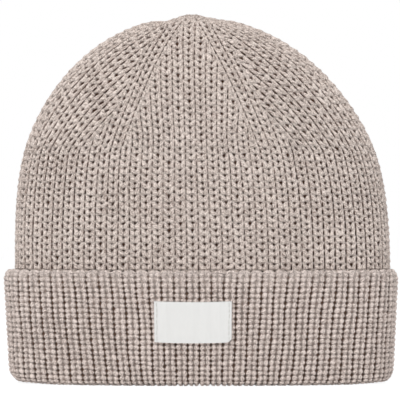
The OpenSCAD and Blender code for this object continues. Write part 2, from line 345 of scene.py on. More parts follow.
# Height of the knit below its ridge, and where on the yarn each point lies.
# A rib falls off to its sides with a power of the distance, less where ribs touch
# and more round the hat's sides, and sinks a little where they part. Each course
# lays two legs on it, which meet below as a V. A leg is an ellipse of yarn: the root
# of one minus its cross distance squared and its long distance to the fourth.
def knitRelief(u, v, stitch):
    ribs, width, course = stitch["ribs"], stitch["ribWidth"], stitch["course"]
    repeat = knitting["repeat"]
    chance = np.random.default_rng(stitch["seed"]).uniform(-1, 1, (ribs, repeat, 2, 4))
    u = u + knitting["driftAcross"] * drift(u, v, stitch)
    v = v + knitting["driftUp"] * drift(v * 2.3 + u, u * 3, stitch)
    v = -v if stitch["upsideDown"] else v
    rib, row = np.rint(u), np.floor(v)
    x = (u - rib) * width
    top, yarn = np.zeros(u.shape), np.zeros((*u.shape, 3))
    for side in (0, 1):
        for step in (-1, 0, 1):
            n = row + step
            luck = chance[rib.astype(int) % ribs, n.astype(int) % repeat, side]
            dx = x * (2 * side - 1) - stitch["legOut"] - stitch["shift"] * luck[..., 0]
            dy = (v - n) * course - stitch["legUp"] - stitch["shift"] * luck[..., 1]
            tilt = np.radians(stitch["legTilt"] + stitch["tiltShift"] * luck[..., 2])
            a = dy * np.cos(tilt) + dx * np.sin(tilt)
            b = dx * np.cos(tilt) - dy * np.sin(tilt)
            body = 1 - (b / stitch["legHalfWidth"]) ** 2 - (a / stitch["legHalfLength"]) ** 4
            lean = 1 - stitch["legLean"] * a / stitch["legHalfLength"]
            height = np.sqrt(np.clip(body, 0, 1)) * lean
            tone = luck[..., 3]
            leg = np.stack([a + knitting["strandShift"] * tone, b * (2 * side - 1), tone], -1)
            yarn = np.where((height > top)[..., None], leg, yarn)
            top = np.maximum(height, top)
    phase = tau * (v - stitch["gapAt"]) + knitting["gapDrift"] * drift(u * 5, v * 3, stitch)
    shut = 0.5 - 0.5 * np.cos(phase)  # where ribs touch
    groove = np.abs(2 * x / width) ** stitch["ribPower"] * (1 - stitch["ribBreak"] * shut)
    groove = groove * (1 + stitch["sideDepth"] * np.sin(tau * u / ribs) ** 2)
    height = stitch["yarnDepth"] * (top - 1) - stitch["ribDepth"] * groove
    return height - stitch["crease"] * (1 - shut), yarn


# The wall's other face: shallower ribs, as a cosine, without legs.
def innerRelief(u, v, stitch):
    height = -knitting["innerShare"] * stitch["ribDepth"] * (1 + np.cos(tau * u))
    return height, np.stack([v * stitch["course"], 2 * np.sin(np.pi * u), 0 * v], -1)


# Joins an outer grid and an inner one into a closed profile with its fields.
def wall(outer, outerHeight, outerYarn, inner, innerHeight, innerYarn):
    points = np.concatenate([outer, inner[::-1]])
    fields = {"yarn": np.concatenate([outerYarn, innerYarn[::-1]]),
              "depth": -np.concatenate([outerHeight, innerHeight[::-1]])}
    return points, fields, (len(outer) - 1, len(points) - 1)


# Cuts a ring into its left and right halves, so that no piece grows too large.
def finishRing(node, body, material, slot, points, fields, flatRows):
    half = (points.shape[1] - 1) // 2
    for side, first in (("left", 0), ("right", half)):
        cut = slice(first, first + half + 1)
        made = gridMesh(f"{node}_{side}", points[:, cut], {k: f[:, cut] for k, f in fields.items()},
                        flatRows)
        finishPiece(made, body, material, [node])


def ringPlaces(columns):  # places once round the hat, from the back seam to itself
    return np.linspace(0, hat["places"], columns + 1)[None, :]


def rowsBetween(low, high, step):  # values in equal steps of about this size
    return np.linspace(low, high, int(np.ceil((high - low) / step)) + 1)[:, None]


def addNode(tree, kind, sockets=None, **settings):
    made = tree.nodes.new(kind)
    for key, value in settings.items():
        setattr(made, key, value)
    for key, value in (sockets or {}).items():
        if isinstance(value, bpy.types.NodeSocket):
            tree.links.new(value, made.inputs[key])
        else:
            made.inputs[key].default_value = value
    return made


def maths(tree, operation, a, b=0.0, c=0.0, clamp=False):
    return addNode(tree, "ShaderNodeMath", {0: a, 1: b, 2: c}, operation=operation,
                   use_clamp=clamp).outputs[0]


def span(tree, value, low, high):  # 0 below low, 1 above high and an even slope between
    return addNode(tree, "ShaderNodeMapRange", {"Value": value, "From Min": low, "From Max": high},
                   interpolation_type="SMOOTHSTEP").outputs[0]


def mixed(tree, share, a, b):  # from colour a to colour b
    return addNode(tree, "ShaderNodeMix", {0: share, 6: a, 7: b}, data_type="RGBA").outputs[2]


def noise(tree, scale, detail, roughness=0.5, place=None):  # on the piece's place by default
    place = place or addNode(tree, "ShaderNodeTexCoord").outputs["Object"]
    return addNode(tree, "ShaderNodeTexNoise", {
        "Vector": place, "Scale": scale, "Detail": detail, "Roughness": roughness}).outputs[0]


def yarnParts(tree):  # how far along the yarn, how far across it, and its stitch's tone
    yarn = addNode(tree, "ShaderNodeAttribute", attribute_name="yarn").outputs["Vector"]
    return addNode(tree, "ShaderNodeSeparateXYZ", {0: yarn}).outputs


def newGroup(name, inputs, outputs):  # names of its sockets, each with its kind
    tree = bpy.data.node_groups.new(name, "ShaderNodeTree")
    for way, sockets in (("INPUT", inputs), ("OUTPUT", outputs)):
        for key, kind in sockets.items():
            tree.interface.new_socket(key, in_out=way, socket_type=f"NodeSocket{kind}")
    return tree, tree.nodes.new("NodeGroupInput").outputs, tree.nodes.new("NodeGroupOutput").inputs


def srgb(*parts):  # a colour as it is seen, 0 to 255, made linear
    c = np.array(parts) / 255
    linear = np.where(c <= 0.04045, c / 12.92, ((c + 0.055) / 1.055) ** 2.4)
    return (*linear.tolist(), 1.0)


yarnLook = {
    "twist": 0.6,  # how fast strands wind round the yarn
    "stretch": 0.45,  # width of a strand over its length
    "toneShift": 11.0,  # how far apart stitches of other tones lie in the noise
    "from": 0.34,  # noise at which strands and flecks begin
    "to": 0.66,  # and at which they are full
    "fleckHeight": 0.7,  # height of a fleck, where a strand's is 1
}
woolLook = {
    "roughness": 0.95, "polish": 0.12,  # and how much smoother light fibres are
    "tones": 0.08,  # contrast from stitch to stitch
    "patches": 0.35, "patchScale": 45.0,  # and from patch to patch
    "sheen": 0.12, "specular": 0.25,
}
weaveLook = {
    "relief": 0.35,  # height of the crossing threads about their middle
    "lint": 0.5, "lintScale": 1800.0,
}


# Twisted yarn: strands wind along it, and light and dark flecks of fibre lie over them.
def makeYarnGroup():
    tree, given, result = newGroup(
        "twistedYarn", {"Strand Size": "Float", "Fleck Size": "Float"},
        {"Strands": "Float", "Flecks": "Float", "Height": "Float"})
    along, across, tone = yarnParts(tree)
    onYarn = addNode(tree, "ShaderNodeCombineXYZ", {
        0: maths(tree, "MULTIPLY", along, yarnLook["stretch"]),
        1: maths(tree, "ADD", across, maths(tree, "MULTIPLY", along, yarnLook["twist"])),
        2: maths(tree, "MULTIPLY", tone, yarnLook["toneShift"])}).outputs[0]
    strandScale = maths(tree, "DIVIDE", 1.0, given["Strand Size"])
    fleckScale = maths(tree, "DIVIDE", 1 / mm, given["Fleck Size"])
    ends = yarnLook["from"], yarnLook["to"]
    strands = span(tree, noise(tree, strandScale, 1.0, place=onYarn), *ends)
    flecks = span(tree, noise(tree, fleckScale, 2.0, 0.6), *ends)
    height = maths(tree, "ADD", strands, maths(tree, "MULTIPLY", flecks, yarnLook["fleckHeight"]))
    tree.links.new(strands, result["Strands"])
    tree.links.new(flecks, result["Flecks"])
    tree.links.new(height, result["Height"])
    return tree


def contrasted(tree, value, contrast):  # a value of 0 to 1 as a change of tone
    return maths(tree, "MULTIPLY", maths(tree, "SUBTRACT", value, 0.5), contrast)


# Colour of wool: light on the ridges, with painted shade, dark and warm, in the gaps where the relief
# lies deep, and with strands, flecks, stitches and patches of different tone; the strands' light and
# dark is partly painted ply shading.
def makeWoolGroup():
    tree, given, result = newGroup(
        "woolColourAndPaintedShade", {"Light": "Color", "Shade": "Color", "Gap": "Color", "Level": "Float",
                       "Strand Tone And Shading": "Float", "Fleck Contrast": "Float", "Strands": "Float",
                       "Flecks": "Float", "Gap Start": "Float", "Gap End": "Float"},
        {"Colour": "Color", "Roughness": "Float"})
    depth = addNode(tree, "ShaderNodeAttribute", attribute_name="depth").outputs["Fac"]
    tones = maths(tree, "MULTIPLY", yarnParts(tree)[2], woolLook["tones"])
    level = maths(tree, "ADD", given["Level"], tones)
    # the strands' contrast is partly their tone and partly painted shading of the twisted plies, which
    # the bump alone hardly shows
    level = maths(tree, "ADD", level, contrasted(tree, given["Strands"], given["Strand Tone And Shading"]))
    level = maths(tree, "ADD", level, contrasted(tree, given["Flecks"], given["Fleck Contrast"]))
    patch = contrasted(tree, noise(tree, woolLook["patchScale"], 2.0), woolLook["patches"])
    level = maths(tree, "ADD", level, patch, clamp=True)
    face = mixed(tree, level, given["Shade"], given["Light"])
    # painted shade: the dark, warm gap colour comes in where the relief lies deep, as shade falls in
    # grooves and hollows
    gap = span(tree, depth, given["Gap Start"], given["Gap End"])
    polish = maths(tree, "MULTIPLY", level, woolLook["polish"])
    tree.links.new(mixed(tree, gap, face, given["Gap"]), result["Colour"])
    tree.links.new(maths(tree, "SUBTRACT", woolLook["roughness"], polish), result["Roughness"])
    return tree


# Woven cloth: crossing threads on the piece's own run and height coordinates, as the
# product of two sines, with lint.
def makeWeaveGroup():
    tree, given, result = newGroup("wovenCloth", {"Thread": "Float"},
                                   {"Warp": "Float", "Height": "Float"})
    waves = []
    for part in yarnParts(tree)[:2]:
        share = maths(tree, "DIVIDE", part, given["Thread"])
        waves.append(maths(tree, "SINE", maths(tree, "MULTIPLY", share, tau)))
    warp = maths(tree, "MULTIPLY_ADD", maths(tree, "MULTIPLY", *waves), weaveLook["relief"], 0.5)
    lint = maths(tree, "MULTIPLY", noise(tree, weaveLook["lintScale"], 2.0), weaveLook["lint"])
    tree.links.new(warp, result["Warp"])
    tree.links.new(maths(tree, "ADD", warp, lint), result["Height"])
    return tree


yarnGroup, woolGroup, weaveGroup = makeYarnGroup(), makeWoolGroup(), makeWeaveGroup()


def newMaterial(name, look):
    material = bpy.data.materials.new(name)
    material.use_nodes = True
    tree = material.node_tree
    shader = tree.nodes["Principled BSDF"]
    shader.inputs["Roughness"].default_value = look["roughness"]
    shader.inputs["Sheen Weight"].default_value = look["sheen"]
    shader.inputs["Sheen Roughness"].default_value = 0.45
    shader.inputs["Specular IOR Level"].default_value = look["specular"]
    return material, tree, shader


def addBump(tree, shader, height, distance):
    bump = addNode(tree, "ShaderNodeBump", {"Height": height, "Distance": distance * mm})
    tree.links.new(bump.outputs[0], shader.inputs["Normal"])


def woolMaterial(name, look):
    material, tree, shader = newMaterial(name, woolLook)
    yarn = addNode(tree, "ShaderNodeGroup", {
        "Strand Size": look["strandSize"], "Fleck Size": look["fleckSize"]}, node_tree=yarnGroup)
    wool = addNode(tree, "ShaderNodeGroup", {
        "Light": srgb(*look["light"]), "Shade": srgb(*look["shade"]), "Gap": srgb(*look["gap"]),
        "Level": look["level"], "Strand Tone And Shading": look["strands"], "Fleck Contrast": look["flecks"],
        "Strands": yarn.outputs["Strands"], "Flecks": yarn.outputs["Flecks"],
        "Gap Start": look["paintedShadeStart"], "Gap End": look["paintedShadeEnd"]}, node_tree=woolGroup)
    tree.links.new(wool.outputs["Colour"], shader.inputs["Base Color"])
    tree.links.new(wool.outputs["Roughness"], shader.inputs["Roughness"])
    addBump(tree, shader, yarn.outputs["Height"], look["bump"])
    return material


# gap and the two depths at the end: the colour of the painted shade in grooves and hollows, and the
# relief depths over which it comes in
crownWool = woolMaterial("crownWool", {
    "light": (255, 241, 232), "shade": (147, 127, 117), "gap": (78, 47, 29), "level": 0.67,
    "strandSize": 0.7, "strands": 0.55, "fleckSize": 0.6, "flecks": 0.75, "bump": 0.25,
    "paintedShadeStart": 0.85, "paintedShadeEnd": 1.75})
cuffWool = woolMaterial("cuffWool", {
    "light": (255, 240, 232), "shade": (152, 133, 124), "gap": (118, 94, 80), "level": 0.77,
    "strandSize": 0.7, "strands": 0.55, "fleckSize": 0.6, "flecks": 0.6, "bump": 0.25,
    "paintedShadeStart": 0.75, "paintedShadeEnd": 2.0})
# on the linking yarn the painted gap shade darkens the thin leg ends, where loops pass under each other
linkingWool = woolMaterial("linkingWool", {
    "light": (255, 241, 232), "shade": (156, 138, 129), "gap": (96, 74, 62), "level": 0.76,
    "strandSize": 0.6, "strands": 0.6, "fleckSize": 0.6, "flecks": 0.7, "bump": 0.2,
    "paintedShadeStart": 0.12, "paintedShadeEnd": 0.5})


def shaded(tree, share, look):  # from the colour in shade to the colour itself
    dark = [part * look["shade"] for part in look["colour"]]
    return mixed(tree, share, srgb(*dark), srgb(*look["colour"]))


def clothMaterial(name, look):
    material, tree, shader = newMaterial(name, look)
    weave = addNode(tree, "ShaderNodeGroup", {"Thread": look["thread"]}, node_tree=weaveGroup)
    tree.links.new(shaded(tree, weave.outputs["Warp"], look), shader.inputs["Base Color"])
    addBump(tree, shader, weave.outputs["Height"], look["bump"])
    return material


labelCloth = clothMaterial("labelCloth", {
    "colour": (247, 247, 245), "shade": 0.93, "thread": 0.5, "bump": 0.05,
    "roughness": 0.6, "sheen": 0.05, "specular": 0.4})
careCloth = clothMaterial("careCloth", {
    "colour": (244, 243, 240), "shade": 0.93, "thread": 0.3, "bump": 0.03,
    "roughness": 0.45, "sheen": 0.05, "specular": 0.4})


def threadMaterial(name, look):
    material, tree, shader = newMaterial(name, look)
    yarn = addNode(tree, "ShaderNodeGroup", {
        "Strand Size": look["strandSize"], "Fleck Size": look["fleckSize"]}, node_tree=yarnGroup)
    tree.links.new(shaded(tree, yarn.outputs["Strands"], look), shader.inputs["Base Color"])
    addBump(tree, shader, yarn.outputs["Height"], look["bump"])
    return material


sewingThread = threadMaterial("sewingThread", {
    "colour": (238, 236, 232), "shade": 0.86, "strandSize": 0.2, "fleckSize": 0.3, "bump": 0.04,
    "roughness": 0.55, "sheen": 0.1, "specular": 0.4})
print("materials made")


crown = {
    "columns": 1044,  # grid columns round the hat
    "rowStep": 0.45,  # distance between rows of the outer face
    "bandRowStep": 0.6,  # the same on the inner band, which the cuff hides
    "innerRowStep": 3.8,  # and on the inner faces
    "goreRows": 228,
    "goreInnerRows": 26,
    "footShare": 0.3,  # depth of the knit at the band's foot, as a share
    "footEase": 5.0,  # height over which it deepens
    "startRibWidth": 5.87,  # width of a rib at the foot of the front gore
    "topRibWidth": 6.5,  # and on its upper part
    "topRibFrom": 0.6,  # share of the gore's height from which that width holds
    "uprightFrom": 0.15,  # and from which the ribs stand upright
    "merged": 1.0,  # how fast the side ribs run out
    "mergeEase": 0.6,  # and how much slower they do later on
    "crowded": 0.2,  # how much faster they do beside the strips
    "stripFoot": 22.0,  # width of the strip beside each decrease line, at its foot
    "stripWidth": 13.0,  # further up
    "stripTip": 6.0,  # and at the tip
    "stripFrom": 0.22,  # share of the height from which the middle width holds
    "stripNarrows": 0.5,  # and from which the strip narrows again
    "mitreEase": 0.9,  # width over which stitches meet at a decrease line
    "meetLevel": -0.7,  # height at which they meet
    "meetWave": 0.3,  # how much that height waves from course to course
    "meetFrom": 0.03,  # share of the height over which the line begins
}
ribsPerPlace = crownStitch["ribs"] / hat["places"]
startPhi, endPhi = steepness(hat["decreaseZ"], 0), np.radians(hat["gatherAngle"])
footRib = placeWidth * np.cos(startPhi) / ribsPerPlace  # width of a rib where gores begin
frontPlace, backPlace = hat["places"] / 2, 0


def wallPoint(k, inset, z):  # the inner band or, above the cuff, the crown
    low = cuffPoint(k, hat["inset"] + inset, np.minimum(z, hat["cuffTop"]))
    high = crownPoint(k, inset, steepness(z, inset))
    return np.where((z <= hat["cuffTop"])[..., None], low, high)


# Courses up the middle of the front, counted from the top of the cuff.
courseZ = np.linspace(hat["bandLow"], hat["decreaseZ"], 600)
courseArc = arcAlong(wallPoint(np.full(600, frontPlace), 0, courseZ))
courseArc -= np.interp(hat["cuffTop"], courseZ, courseArc)


# Both faces of the crown's knit: a face is made from its rows, how far inside it lies,
# its relief and which way that relief is raised.
def crownWall(face, rows, innerRows):
    return wall(*face(rows, 0.0, knitRelief, 1), *face(innerRows, hat["knit"], innerRelief, -1))


# A ring of the crown's knit between two heights, shallower at the band's foot.
def crownRing(node, low, high, rowStep):
    def face(step, inset, reliefOf, outwards):
        k, z = np.broadcast_arrays(ringPlaces(crown["columns"]), rowsBetween(low, high, step))
        v = np.interp(z, courseZ, courseArc) / crownStitch["course"]
        height, yarn = reliefOf(k * ribsPerPlace, v, crownStitch)
        foot = smooth((z - hat["bandLow"]) / crown["footEase"])
        height = height * (crown["footShare"] + (1 - crown["footShare"]) * foot)
        return settleCrown(raised(wallPoint(k, inset, z), height * outwards, True)), height, yarn

    finishRing(node, "crown", crownWool, "crown_knit", *crownWall(face, rowStep, crown["innerRowStep"]))


crownRing("crown_tube", hat["cuffTop"], hat["decreaseZ"], crown["rowStep"])
crownRing("inner_band", hat["bandLow"], hat["cuffTop"], crown["bandRowStep"])
print("tube and inner band knitted")


def goreHalfAt(s):  # half the front gore at share s of its height, in places
    return hat["goreHalf"] + (hat["goreTipHalf"] - hat["goreHalf"]) * s


def goreLevels(count, inset):  # each row's share of the height and its steepness
    s = np.linspace(0, 1, count)[:, None]
    low = steepness(hat["decreaseZ"], inset)
    return s, low + (endPhi - low) * s


def lineUp(place, inset, phi):  # straight up the crown at one place, and the distance run
    line = crownPoint(np.full(phi.shape, place), inset, phi)
    return line, arcAlong(line)


# Beside a line where stitches meet, the knit fades into one level, which waves by a
# cosine from course to course.
def meetAtEdges(height, v, s, distance):
    beside = (1 - smooth(distance / crown["mitreEase"])) * smooth(s / crown["meetFrom"])
    level = crown["meetLevel"] + crown["meetWave"] * np.cos(tau * v)
    return height + (level - height) * beside


def finishGore(node, face):
    points, fields, rims = crownWall(face, crown["goreRows"], crown["goreInnerRows"])
    made = gridMesh(f"{node}_knit", points, fields, rims)
    finishPiece(made, "crown", crownWool, [node])


# Ribs stay upright on the front and back gores: a rib's number is the sideways
# distance from the gore's middle over the width of a rib. At the foot it is the tube's.
def uprightGore(node, middle):
    columns = round(2 * hat["goreHalf"] * crown["columns"] / hat["places"])
    f = np.linspace(-1, 1, columns + 1)[None, :]
    towards = 1 if middle == frontPlace else -1
    widening = crown["topRibWidth"] - crown["startRibWidth"]

    def face(count, inset, reliefOf, outwards):
        s, phi = goreLevels(count, inset)
        k = middle + f * goreHalfAt(s)
        base = crownPoint(k, inset, phi)
        mid, arc = lineUp(middle, inset, phi)
        v = (courseArc[-1] + arc) / crownStitch["course"] + 0 * k
        ribWidth = crown["startRibWidth"] + widening * np.clip(s / crown["topRibFrom"], 0, 1)
        upright = middle * ribsPerPlace + towards * (base[..., 0] - mid[..., 0]) / ribWidth
        u = k * ribsPerPlace + (upright - k * ribsPerPlace) * smooth(s / crown["uprightFrom"])
        height, yarn = reliefOf(u, v, crownStitch)
        if outwards > 0:
            gap = (1 - np.abs(f)) * goreHalfAt(s) * placeWidth * np.cos(phi)
            height = meetAtEdges(height, v, s, gap)
        return settleCrown(raised(base, height * outwards, False)), height, yarn

    finishGore(node, face)


# Ribs lean in on the side gores: beside each decrease line a strip of them runs
# along it, and the rest run out against that strip, fewer with each step up. A rib's
# number is the side times what is left: one, less a share of the height, more with its
# square and less again with the side's square.
def sideGore(node, first, last):
    wide = last - first - 2 * hat["goreHalf"]
    columns = round(wide * crown["columns"] / hat["places"])
    f = np.linspace(0, 1, columns + 1)[None, :]
    middle = (first + last) / 2
    narrowing = crown["stripWidth"] - crown["stripTip"]
    spreading = crown["stripFoot"] - crown["stripWidth"]

    def face(count, inset, reliefOf, outwards):
        s, phi = goreLevels(count, inset)
        low, high = first + goreHalfAt(s), last - goreHalfAt(s)
        base = crownPoint(low + (high - low) * f, inset, phi)
        side = 2 * f - 1
        gap = (1 - np.abs(side)) * (high - low) / 2 * placeWidth * np.cos(phi)
        left = 1 - crown["merged"] * s + crown["mergeEase"] * s * s - crown["crowded"] * s * side ** 2
        u = (middle + wide / 2 * side * left) * ribsPerPlace
        beside = np.sign(side) * (wide / 2 * ribsPerPlace - gap / footRib)
        late = smooth((s - crown["stripNarrows"]) / (1 - crown["stripNarrows"]))
        strip = crown["stripWidth"] - narrowing * late
        strip = strip + spreading * (1 - smooth(s / crown["stripFrom"]))
        u = np.where(gap < strip, middle * ribsPerPlace + beside, u)
        arc = lineUp(frontPlace, inset, phi)[1]
        share = arcAlong(base)
        share = share / share[-1]
        v = (courseArc[-1] + arc + arc[-1] * (share - share[:, :1])) / crownStitch["course"]
        height, yarn = reliefOf(u, v, crownStitch)
        if outwards > 0:
            height = meetAtEdges(height, v, s, gap)
            height = meetAtEdges(height, v, s, np.abs(gap - strip))
        return settleCrown(raised(base, height * outwards, False)), height, yarn

    finishGore(node, face)


uprightGore("crown_front_gore", frontPlace)
uprightGore("crown_back_gore", backPlace)
sideGore("crown_left_gore", backPlace, frontPlace)
sideGore("crown_right_gore", frontPlace, hat["places"])
print("gores knitted")

gather = {
    "columns": 240, "rows": 34,
    "ribs": 10,  # ribs that are left at the tip
    "uneven": 0.03,  # how unevenly they are spread, in three waves
    "firstCourse": 51, "courses": 2.8,
    "meetFrom": 0.8,  # share of the way to the hole at which they meet
    "hump": 0.8,  # height of the hump
    "humpFrom": 0.25, "humpEase": 0.6,
    "hole": 0.4,  # steepness that the hole is short of 90 degrees
}


# The gathered tip: rings that shrink to the drawn hole, where the last ribs come
# together in a low hump, and the same rings again below as its inner face.
def makeGather():
    k = ringPlaces(gather["columns"])[:, :-1]

    def face(count, inset, reliefOf, outwards):
        r = np.linspace(0, 1, count)[:, None]
        out = crownPoint(k, inset, endPhi + (np.radians(90 - gather["hole"]) - endPhi) * r)
        share = k / hat["places"] + 0 * r
        u = (share + gather["uneven"] * np.sin(tau * 3 * share)) * gather["ribs"]
        height, yarn = reliefOf(u, gather["firstCourse"] + r * gather["courses"] + 0 * u, crownStitch)
        if outwards > 0:
            meet = smooth((r - gather["meetFrom"]) / (1 - gather["meetFrom"]))
            height = height + (crown["meetLevel"] - height) * meet
            out[..., 2] += gather["hump"] * smooth((r - gather["humpFrom"]) / gather["humpEase"])
        out[..., 2] += height * outwards
        return settleCrown(out), height, yarn

    points, fields, rims = crownWall(face, gather["rows"], gather["rows"])
    made = gridMesh("crown_gather_knit", points, fields, rims[1:], ring=True)
    finishPiece(made, "crown", crownWool, ["crown_gather"])


makeGather()
print("tip gathered")


cuff = {
    "columns": 1050, "rowStep": 0.42, "innerRowStep": 4.0,
    "foldRadius": 3.2, "foldSteps": 13,  # the turn at the bottom
    "weltRadius": 1.9, "weltSteps": 9,  # and at the cast-on edge
    "sideEase": 2.0, "sideEaseHeight": 8.0,  # how the top eases in at both sides
    "hemEase": 1.6, "hemEaseHeight": 14.0,  # and the hem
    "proudLeft": 2.3, "proudRight": 0.4,  # how far the cuff stands out there
    "sidePower": 12,  # how closely all this keeps to the sides
    "ribLean": 0.6,  # lean of the ribs, in ribs
    "topFlat": 0.25,  # how much shallower the knit is near the top
    "topFrom": 12.0, "topEase": 10.0,
    "insideShare": 0.35,  # depth of the knit where the fold goes up inside
    "insideEase": 3.0,
    "weltFlat": 0.6,  # how much shallower it is on the edge
    "weltFrom": 0.6, "weltEase": 3.0,
    "weltSunk": 0.2,  # how far the edge's inner face lies in
    "weltInside": 1.2,
    "scallop": 0.35,  # depth of the edge's scallops
    "scallopEase": 2.0,
}
cuffRibsPerPlace = cuffStitch["ribs"] / hat["places"]


# Round both sides the cuff stands out a little, and its top and hem ease inwards, by a
# power of the distance from its middle.
def settleCuff(p):
    out = p.copy()
    rise = (p[..., 2] - hat["cuffTop"]) / cuff["sideEaseHeight"]
    proud = np.where(p[..., 0] < 0, cuff["proudLeft"], cuff["proudRight"])
    ease = cuff["sideEase"] * smooth(1 + rise) ** 2 - proud
    ease = ease + cuff["hemEase"] * smooth(1 - p[..., 2] / cuff["hemEaseHeight"]) ** 2
    near = (np.abs(p[..., 0]) / hat["halfWidth"]) ** cuff["sidePower"]
    out[..., 0] -= np.sign(p[..., 0]) * ease * near
    return out


# Ribs lean towards the middle of the front and back as they go down, by the sine of
# twice the way round the hat, and grow shallower towards the cast-on edge.
def cuffRelief(k, z):
    lean = cuff["ribLean"] * np.sin(2 * tau * (k - hat["turn"]) / hat["places"])
    u = k * cuffRibsPerPlace + lean * (1 - z / hat["cuffTop"])
    height, yarn = knitRelief(u, z / cuffStitch["course"], cuffStitch)
    top = smooth((z - hat["cuffTop"] + cuff["topFrom"]) / cuff["topEase"])
    return height * (1 - cuff["topFlat"] * top), yarn


def cuffGrid(*rows):  # places round the cuff, and rows of values, as whole grids
    return np.broadcast_arrays(ringPlaces(cuff["columns"]), *rows)


def finishCuff(node, points, fields, flatRows):
    finishRing(node, "cuff", cuffWool, "cuff_knit", points, fields, flatRows)


# The turned-up layer: stitches on its outer face and shallow ribs on its inner one.
def makeCuffLayer():
    low, high = hat["foldTop"], hat["layerTop"]
    k, z = cuffGrid(rowsBetween(low, high, cuff["rowStep"]))
    height, yarn = cuffRelief(k, z)
    outer = settleCuff(raised(cuffPoint(k, 0.0, z), height, True))
    k, z = cuffGrid(rowsBetween(low, high, cuff["innerRowStep"]))
    innerHeight, innerYarn = innerRelief(k * cuffRibsPerPlace, z / cuffStitch["course"], cuffStitch)
    inner = settleCuff(raised(cuffPoint(k, hat["knit"], z), -innerHeight, True))
    finishCuff("cuff_layer", *wall(outer, height, yarn, inner, innerHeight, innerYarn))


# Insets and heights of a turned edge, in equal steps along it: one face, two quarter
# circles and the other face. It opens at one height and turns at another.
def turnedEdge(openZ, turnZ, thick, radius, steps):
    w = np.linspace(0, np.pi / 2, steps)
    inset = radius * (1 - np.cos(w))
    z = turnZ + np.sign(openZ - turnZ) * radius * (1 - np.sin(w))
    inset = np.concatenate([[0], inset, thick - inset[::-1], [thick]])
    z = np.concatenate([[openZ], z, z[::-1], [openZ]])
    arc = arcAlong(np.stack([inset, z], 1))
    at = rowsBetween(0, arc[-1], cuff["rowStep"])
    return np.interp(at, arc, inset), np.interp(at, arc, z), at


# The turn at the bottom: down the outer face, round two quarter circles, up inside.
def makeCuffFold():
    top, thick = hat["foldTop"], hat["inset"] + hat["knit"]
    edge = turnedEdge(top, 0, thick, cuff["foldRadius"], cuff["foldSteps"])
    k, inset, z, at = cuffGrid(*[values[::-1] for values in edge])
    height, yarn = cuffRelief(k, top - at)
    shown = smooth((thick - inset) / cuff["insideEase"])
    height = height * (cuff["insideShare"] + (1 - cuff["insideShare"]) * shown)
    points = settleFold(settleCuff(raised(cuffPoint(k, inset, z), height, True)))
    finishCuff("cuff_fold", points, {"yarn": yarn, "depth": -height}, (len(at) - 1,))


# The cast-on edge: the ribs run up to it, grow shallow and roll over inwards. Its top
# is scalloped by a cosine.
def makeCuffEdge():
    low, knit = hat["layerTop"], hat["knit"]
    edge = turnedEdge(low, hat["cuffTop"], knit, cuff["weltRadius"], cuff["weltSteps"])
    k, inset, z, at = cuffGrid(*edge)
    height, yarn = cuffRelief(k, low + at)
    height = height * (1 - cuff["weltFlat"] * smooth((at - cuff["weltFrom"]) / cuff["weltEase"]))
    inside = smooth((inset - knit + cuff["weltInside"]) / cuff["weltInside"])
    height = height * (1 - inside) - cuff["weltSunk"] * inside
    scallop = cuff["scallop"] * (np.cos(tau * (k * cuffRibsPerPlace)) - 1)
    base = cuffPoint(k, inset, z)
    base[..., 2] += scallop * smooth((z - low) / cuff["scallopEase"])
    points = settleCuff(raised(base, height, True))
    finishCuff("cuff_edge", points, {"yarn": yarn, "depth": -height}, (len(at) - 1,))


makeCuffLayer()
makeCuffFold()
makeCuffEdge()
print("cuff knitted")


label = {
    "half": 21.5, "low": 24.4, "high": 46.9,  # half its width, and its two edges
    "shift": 0.2,  # how far it lies right of the front's middle
    "tab": 5.0,  # length turned under at each end
    "tape": 0.6,  # thickness of the cloth
    "bend": 0.325,  # radius of the turn, along the cloth's middle
    "rows": 64, "faceSteps": 104, "tabSteps": 12, "bendSteps": 9,
    "rest": 0.5,  # how far the face sinks onto the ribs between the tabs
    "restFrom": 1.0, "restEase": 4.0,
    "follow": 0.12,  # how much the ribs below show through
    "sag": 0.6, "dip": 0.4,  # of the lower and the upper edge, in their middle
    "corner": 3.2, "cornerDepth": 0.94, "cornerLift": 0.25,
}
sewing = {
    "stitches": 7, "length": 2.2, "gap": 0.9, "thread": 0.2,
    "margin": 1.6,  # distance from the label's ends
    "proud": 0.16,  # how far a stitch stands above the cloth
    "sink": 0.4,  # how far its ends dip
    "slant": 0.05, "unevenUp": 0.1, "unevenAcross": 0.12,
}


# A point across from the label's middle, off the cuff's face and up. The ribs below
# lift it a little, by a cosine.
def labelPoint(x, off, z):
    k = frontPlace + (label["shift"] + x) / placeWidth
    high = off + label["follow"] * np.cos(tau * k * cuffRibsPerPlace)
    return cuffPoint(k, -high, z)


